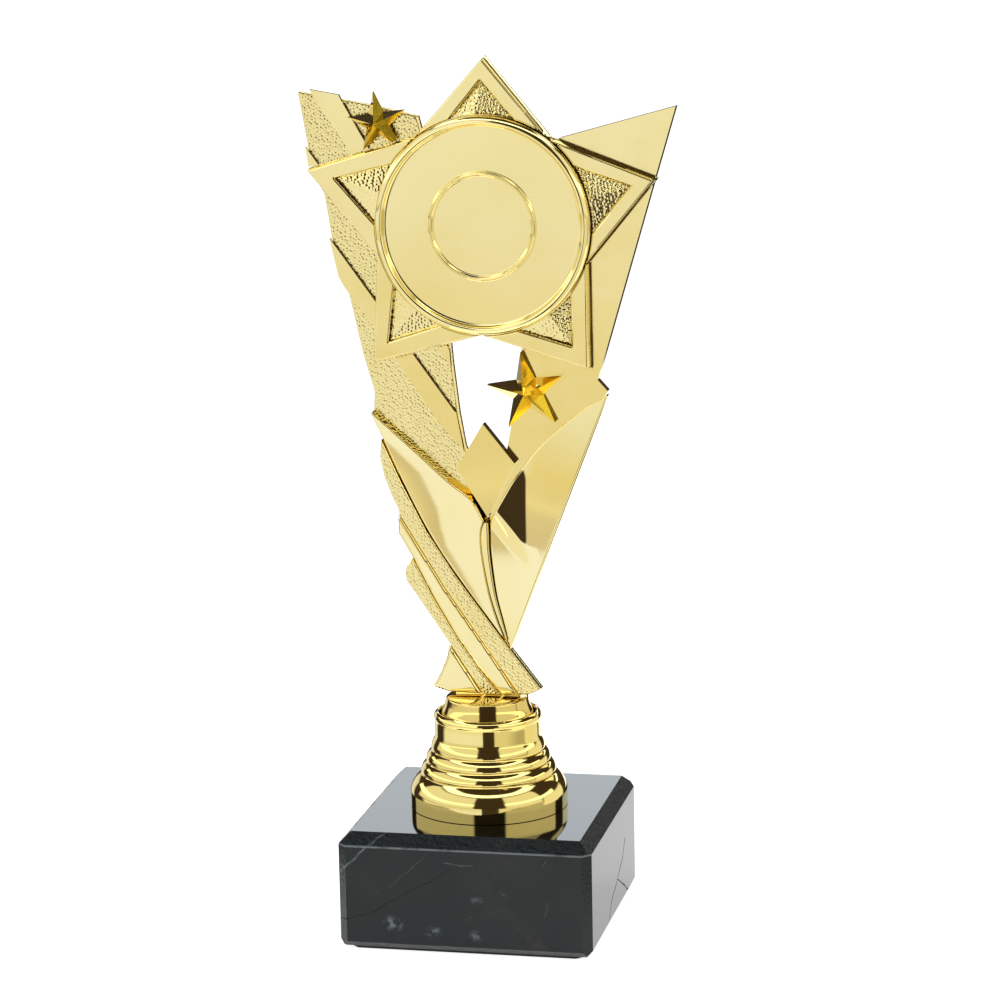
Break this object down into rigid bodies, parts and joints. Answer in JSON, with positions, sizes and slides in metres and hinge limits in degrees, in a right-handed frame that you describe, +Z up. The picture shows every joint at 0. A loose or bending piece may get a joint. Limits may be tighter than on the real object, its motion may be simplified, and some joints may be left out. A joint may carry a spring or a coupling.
{
  "type": "star trophy",
  "caption": "Gold star trophy: a star with a round emblem seat on two tall wings and crossed sashes, over a stepped bell riser and a black marble block.",
  "frame": {"origin": "middle of the felt pad's underside, on the surface the trophy stands on", "axes": "+Z up, -Y out of the star's front face, +X to the right of someone facing the front"},
  "size_m": [0.0959, 0.065, 0.2226],
  "materials": {
    "gold_smooth": "mirror gold metallised plastic",
    "gold_pebbled": "gold metallised plastic with a moulded pebble texture",
    "marble_black": "polished black marble with pale veins, sawn chamfers",
    "steel_zinc": "zinc plated",
    "brass_insert": "turned brass",
    "felt_black": "short black felt"
  },
  "bodies": {
    "root": {"felt_pad": "felt_black", "marble_base": "marble_black", "penny_washer": "steel_zinc", "hex_nut": "steel_zinc", "tie_rod": "steel_zinc", "threaded_insert": "brass_insert", "bell_riser": "gold_smooth", "figure_foot": "gold_smooth", "star_frame": "gold_smooth", "emblem_holder": "gold_smooth", "wing_right": "gold_smooth", "ribbon_top": "gold_smooth", "ribbon_middle_upper": "gold_smooth", "ribbon_middle_lower": "gold_smooth", "ribbon_long_upper": "gold_smooth", "ribbon_long_lower": "gold_smooth", "diamond_plate": "gold_smooth", "small_star_upper": "gold_smooth", "small_star_lower": "gold_smooth", "core_plate": "gold_smooth", "sash_middle": "gold_smooth", "side_fin": "gold_smooth", "stem_strip": "gold_smooth", "leaf_left": "gold_smooth", "blade_right": "gold_smooth", "wing_left": "gold_pebbled", "sash_upper": "gold_pebbled", "sash_lower": "gold_pebbled", "arm_facet_top": "gold_pebbled", "arm_facet_left": "gold_pebbled", "arm_facet_lower_left": "gold_pebbled", "arm_facet_lower_right": "gold_pebbled", "arm_facet_right": "gold_pebbled"}
  },
  "joints": []
}
